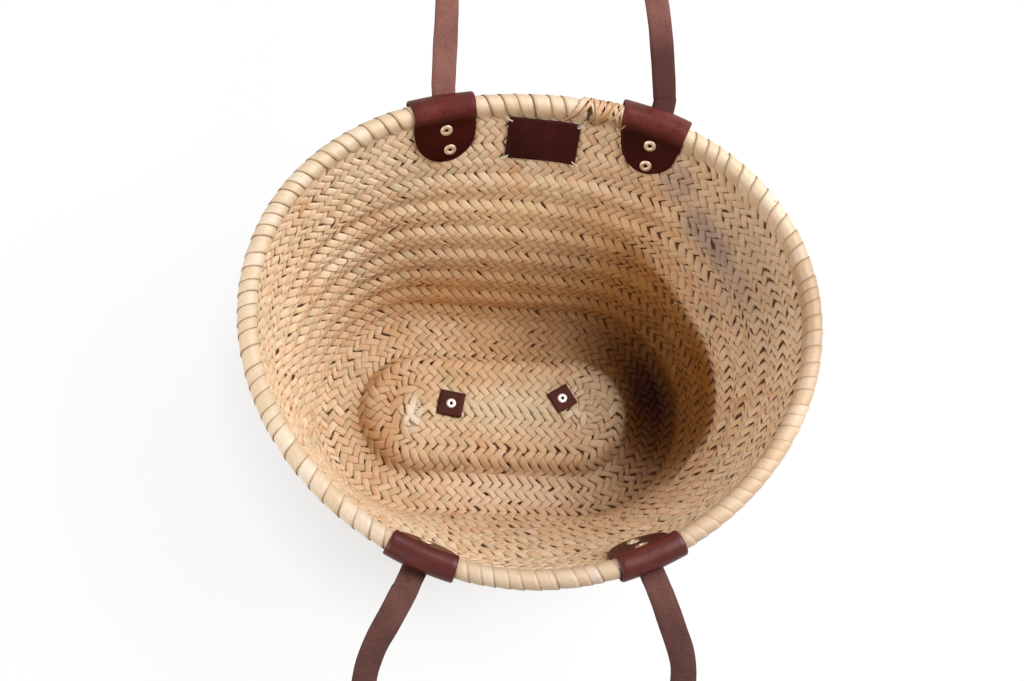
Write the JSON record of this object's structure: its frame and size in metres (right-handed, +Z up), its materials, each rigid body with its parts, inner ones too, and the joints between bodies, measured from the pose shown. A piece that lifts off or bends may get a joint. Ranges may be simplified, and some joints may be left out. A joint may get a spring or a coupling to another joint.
{
  "type": "beach basket",
  "caption": "Oval open basket of plaited palm leaf, flaring to a wrapped round rim, with a raised base middle and long leather shoulder straps held by riveted leather tabs.",
  "frame": {"origin": "on the floor, under the middle of the box round the whole basket with both straps as stored", "axes": "+X along the long side of the base, to the right in the picture; +Y to the back, away from the camera, along the longest extent because both straps hang out that way; +Z up"},
  "size_m": [0.4866, 0.8336, 0.2771],
  "materials": {
    "palm_plait": "plaited dried palm leaf, matt with a faint sheen",
    "palm_wrap": "smooth split palm leaf",
    "palm_fibre": "loose palm fibre",
    "leather": "smooth burgundy brown, satin",
    "strap_leather": "smooth outside, matt flesh side",
    "rivet_metal": "pale plated brass, satin",
    "thread": "waxed thread"
  },
  "bodies": {
    "basket": {"base_plait": "palm_plait", "wall_plait": "palm_plait", "rim_core": "palm_fibre", "rim_wrap": "palm_wrap", "tab_front_left": "leather", "tab_front_right": "leather", "tab_back_left": "leather", "tab_back_right": "leather", "strap_end_front_left": "strap_leather", "strap_end_front_right": "strap_leather", "strap_end_back_left": "strap_leather", "strap_end_back_right": "strap_leather", "rivet_front_left_upper": "rivet_metal", "washer_front_left_upper": "rivet_metal", "rivet_front_left_lower": "rivet_metal", "washer_front_left_lower": "rivet_metal", "rivet_front_right_upper": "rivet_metal", "washer_front_right_upper": "rivet_metal", "rivet_front_right_lower": "rivet_metal", "washer_front_right_lower": "rivet_metal", "rivet_back_left_upper": "rivet_metal", "washer_back_left_upper": "rivet_metal", "rivet_back_left_lower": "rivet_metal", "washer_back_left_lower": "rivet_metal", "rivet_back_right_upper": "rivet_metal", "washer_back_right_upper": "rivet_metal", "rivet_back_right_lower": "rivet_metal", "washer_back_right_lower": "rivet_metal", "label": "leather", "label_stitch_1": "thread", "label_stitch_2": "thread", "label_stitch_3": "thread", "label_stitch_4": "thread", "base_square_left": "leather", "base_pad_left": "leather", "base_rivet_left": "rivet_metal", "base_washer_left": "rivet_metal", "base_square_right": "leather", "base_pad_right": "leather", "base_rivet_right": "rivet_metal", "base_washer_right": "rivet_metal"},
    "front_loop": {"front_strap": "strap_leather"},
    "back_loop": {"back_strap": "strap_leather"}
  },
  "joints": [
    {"name": "front_strap_swing", "type": "hinge", "parent": "basket", "child": "front_loop", "pos_m": [-0.09934, -0.24422, 0.25151], "axis": [-1, -0.0079, 0.0003], "range_deg": [-45, 100]},
    {"name": "back_strap_swing", "type": "hinge", "parent": "basket", "child": "back_loop", "pos_m": [-0.08104, 0.17291, 0.24756], "axis": [0.9998, -0.0007, -0.0177], "range_deg": [-50, 58]}
  ]
}
